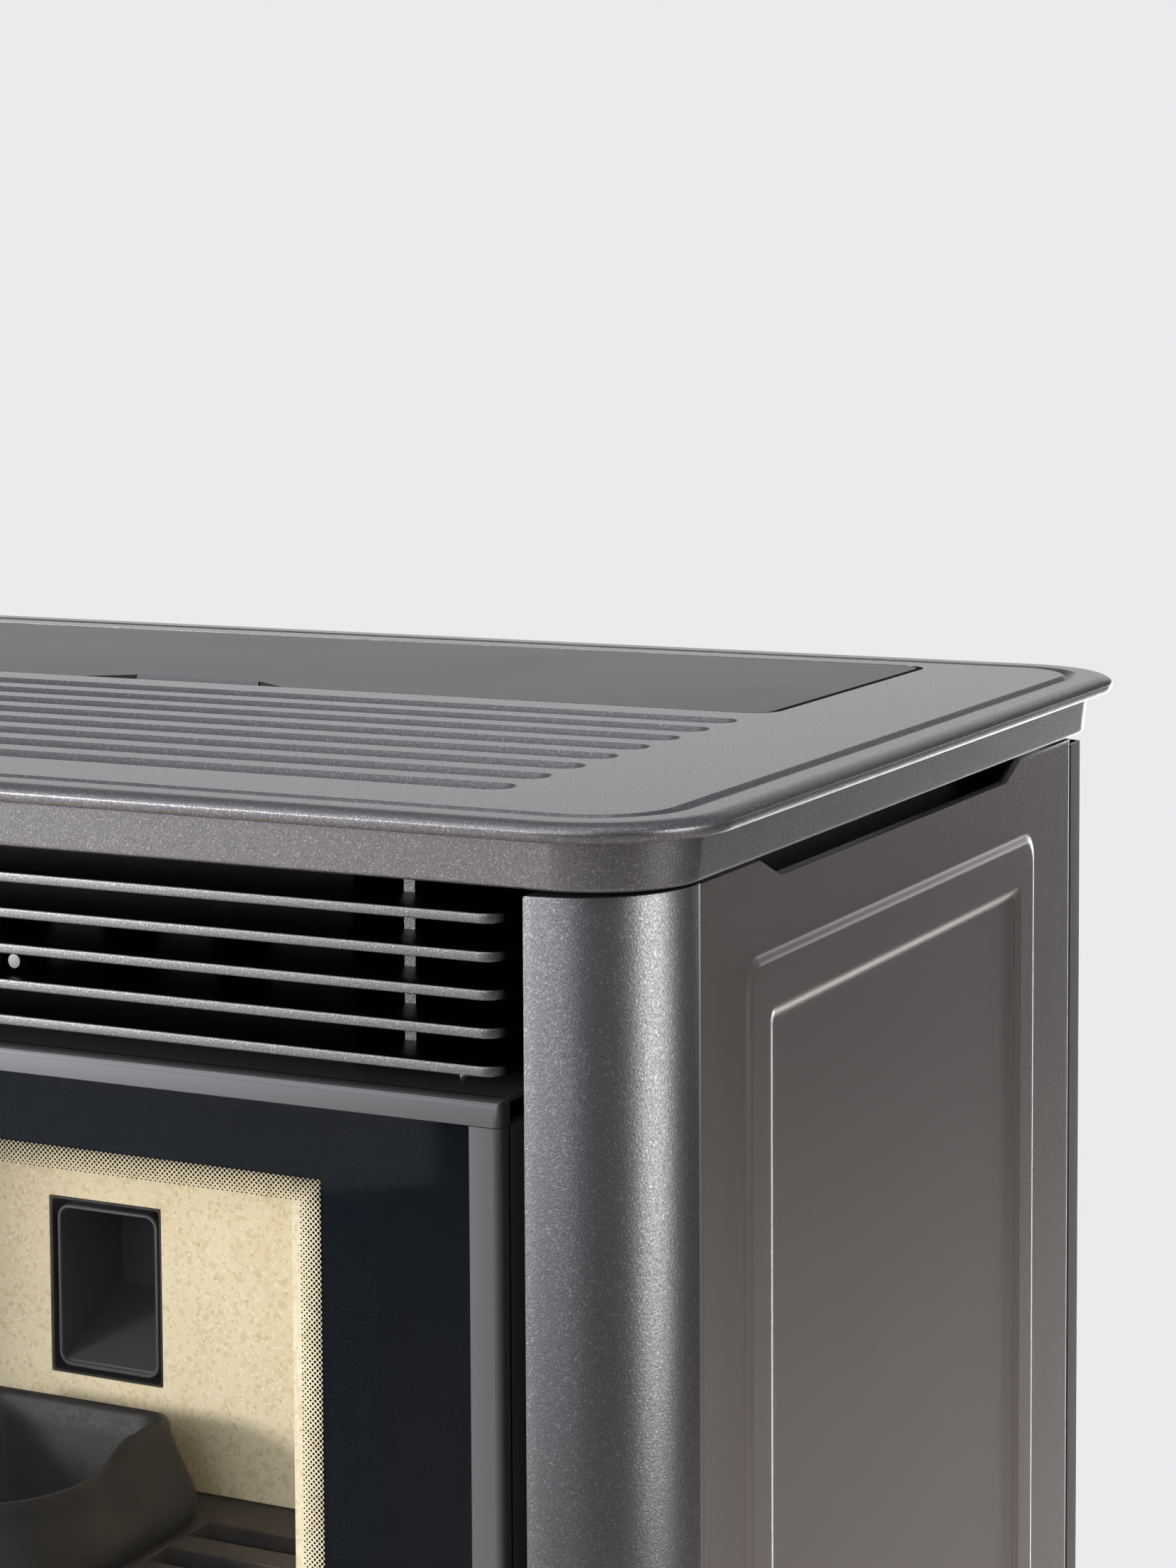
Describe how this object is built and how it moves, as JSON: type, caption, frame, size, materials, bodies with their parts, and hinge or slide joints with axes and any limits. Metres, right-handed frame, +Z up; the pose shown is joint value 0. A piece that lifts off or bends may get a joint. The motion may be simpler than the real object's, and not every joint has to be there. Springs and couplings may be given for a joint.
{
  "type": "pellet stove",
  "caption": "Free-standing pellet stove with a cast fluted top, louvred warm-air grille, framed glass door, hopper lid and slide-out ash drawer.",
  "frame": {"origin": "on the floor, below the middle of the top plate", "axes": "+Z up, the glass door towards -Y, +X to the right when seen from the front"},
  "size_m": [0.79, 0.54, 1.04],
  "materials": {
    "cast_paint": "cast iron in a fine-textured anthracite metallic paint",
    "satin_paint": "sheet steel in a satin dark grey stove paint",
    "lid_paint": "sheet steel in a smooth satin grey paint",
    "black_steel": "sheet steel in a matt black heat-proof paint",
    "zinc_steel": "zinc-plated sheet steel",
    "vermiculite": "pressed vermiculite board, dry and speckled",
    "cast_iron": "raw cast iron, heat-browned",
    "glass": "ceramic fire glass with a black printed border",
    "rope": "black glass-fibre rope",
    "black_plastic": "matt black plastic"
  },
  "bodies": {
    "stove": {"base_plinth": "cast_paint", "right_column": "cast_paint", "left_column": "cast_paint", "top_plate": "cast_paint", "louvre_grille": "cast_paint", "right_side_panel": "satin_paint", "left_side_panel": "satin_paint", "rear_panel": "satin_paint", "lower_front_panel": "satin_paint", "auger_motor": "black_steel", "pellet_chute": "black_steel", "firebox_front_plate": "black_steel", "firebox_shell": "black_steel", "heat_exchanger": "black_steel", "exhaust_fan_housing": "black_steel", "exhaust_fan_motor": "black_steel", "room_fan_motor": "black_steel", "flue_spigot": "black_steel", "chassis": "zinc_steel", "right_lid_hinge": "zinc_steel", "left_lid_hinge": "zinc_steel", "hopper": "zinc_steel", "auger_tube": "zinc_steel", "igniter": "zinc_steel", "room_fan_housing": "zinc_steel", "air_intake_pipe": "zinc_steel", "door_hinge_pin_lower": "zinc_steel", "door_hinge_pin_upper": "zinc_steel", "vermiculite_back": "vermiculite", "right_vermiculite_side": "vermiculite", "left_vermiculite_side": "vermiculite", "baffle_plate": "vermiculite", "grate_plate": "cast_iron", "front_left_foot": "black_plastic", "rear_left_foot": "black_plastic", "front_right_foot": "black_plastic", "rear_right_foot": "black_plastic", "touch_panel": "black_plastic", "mains_inlet": "black_plastic", "control_box": "black_plastic"},
    "door": {"door_top_rail": "satin_paint", "door_bottom_rail": "satin_paint", "door_left_stile": "satin_paint", "door_right_stile": "satin_paint", "door_inner_frame": "black_steel", "door_glass": "glass", "door_gasket": "rope"},
    "latch": {"latch_knob": "zinc_steel", "latch_spindle": "zinc_steel"},
    "lid": {"hopper_lid": "lid_paint", "lid_gasket": "rope"},
    "ash_drawer": {"ash_drawer": "zinc_steel", "ash_drawer_front": "satin_paint"},
    "scraper": {"tube_scraper": "zinc_steel"},
    "burn_pot": {"burn_pot": "cast_iron"},
    "auger": {"auger_screw": "zinc_steel"},
    "exhaust_fan": {"exhaust_fan_wheel": "zinc_steel"},
    "room_fan": {"room_fan_drum": "zinc_steel"},
    "switch": {"rocker_switch": "black_plastic"}
  },
  "joints": [
    {"name": "door_hinge", "type": "hinge", "parent": "stove", "child": "door", "pos_m": [-0.324, -0.2475, 0.77], "axis": [0, 0, -1], "range_deg": [0, 105]},
    {"name": "latch_turn", "type": "hinge", "parent": "door", "child": "latch", "pos_m": [0.285, -0.25, 0.613], "axis": [0, 1, 0], "range_deg": [0, 90]},
    {"name": "lid_hinge", "type": "hinge", "parent": "stove", "child": "lid", "pos_m": [0, 0.221, 1.033], "axis": [-1, 0, 0], "range_deg": [0, 80]},
    {"name": "ash_drawer_slide", "type": "slide", "parent": "stove", "child": "ash_drawer", "axis": [0, -1, 0], "range_m": [0, 0.2]},
    {"name": "scraper_slide", "type": "slide", "parent": "stove", "child": "scraper", "axis": [0, -1, 0], "range_m": [0, 0.12]},
    {"name": "burn_pot_lift", "type": "slide", "parent": "stove", "child": "burn_pot", "axis": [0, 0, 1], "range_m": [0, 0.06]},
    {"name": "auger_spin", "type": "hinge", "parent": "stove", "child": "auger", "pos_m": [0, 0.12, 0.56], "axis": [0, -0.2652, 0.9642], "continuous": true},
    {"name": "exhaust_fan_spin", "type": "hinge", "parent": "stove", "child": "exhaust_fan", "pos_m": [0.17, 0.03, 0.655], "axis": [0, 1, 0], "continuous": true},
    {"name": "room_fan_spin", "type": "hinge", "parent": "stove", "child": "room_fan", "pos_m": [0, 0.11, 0.13], "axis": [1, 0, 0], "continuous": true},
    {"name": "switch_rock", "type": "hinge", "parent": "stove", "child": "switch", "pos_m": [-0.3, 0.2345, 0.136], "axis": [1, 0, 0], "range_deg": [0, 6]}
  ]
}
